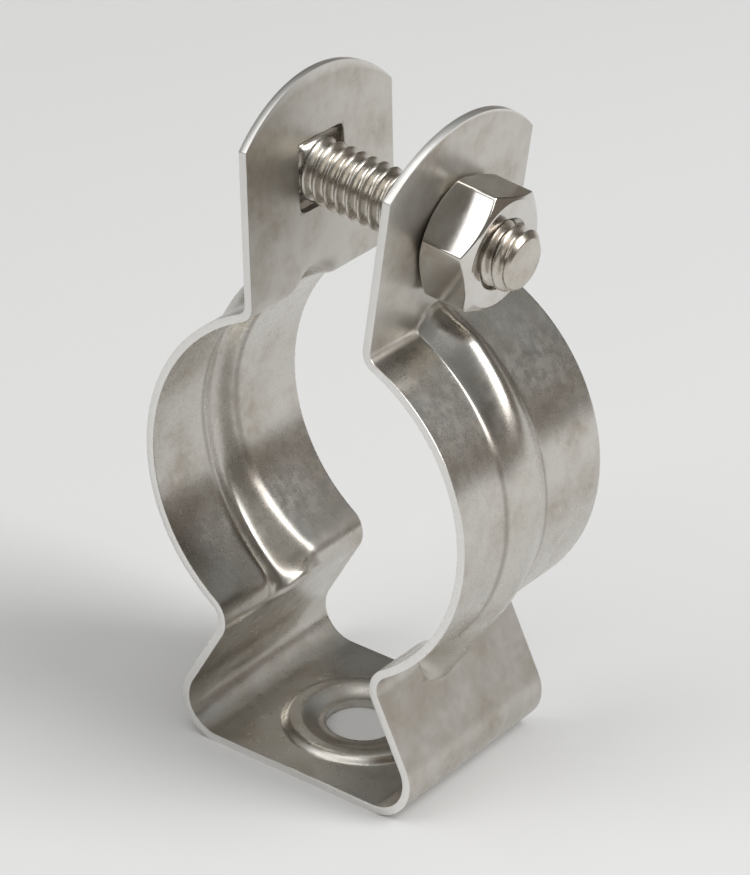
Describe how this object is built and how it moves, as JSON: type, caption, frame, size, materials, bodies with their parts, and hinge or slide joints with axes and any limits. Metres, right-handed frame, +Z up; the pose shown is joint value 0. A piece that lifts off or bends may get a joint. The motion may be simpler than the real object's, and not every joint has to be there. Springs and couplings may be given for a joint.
{
  "type": "conduit hanger",
  "caption": "Folded steel strap that closes round a conduit, with a flat fixing base, ribbed arms, and two ears drawn together by a carriage bolt and a hex nut.",
  "frame": {"origin": "centre of the base's underside, on the axis of its fixing hole", "axes": "+Z up from the base through the conduit's axis to the ears, +Y along the conduit, +X from the bolt's head to its nut"},
  "size_m": [0.0384, 0.0222, 0.0686],
  "materials": {
    "strap_steel": "satin stainless, rolled and pressed, with scuffs",
    "bolt_steel": "satin stainless",
    "nut_steel": "bright stainless"
  },
  "bodies": {
    "strap": {"strap": "strap_steel"},
    "bolt": {"carriage_bolt": "bolt_steel"},
    "nut": {"hex_nut": "nut_steel"}
  },
  "joints": [
    {"name": "bolt_slide", "type": "slide", "parent": "strap", "child": "bolt", "axis": [-0.9949, 0, 0.1011], "range_m": [0, 0.00508]},
    {"name": "nut_turn", "type": "hinge", "parent": "strap", "child": "nut", "pos_m": [0, 0, 0.0578], "axis": [0.9949, 0, -0.1011], "range_deg": [0, 1441]}
  ],
  "couplings": [
    {"joint": "nut_turn", "follows": "bolt_slide", "rad_per_m": 4947.4}
  ]
}
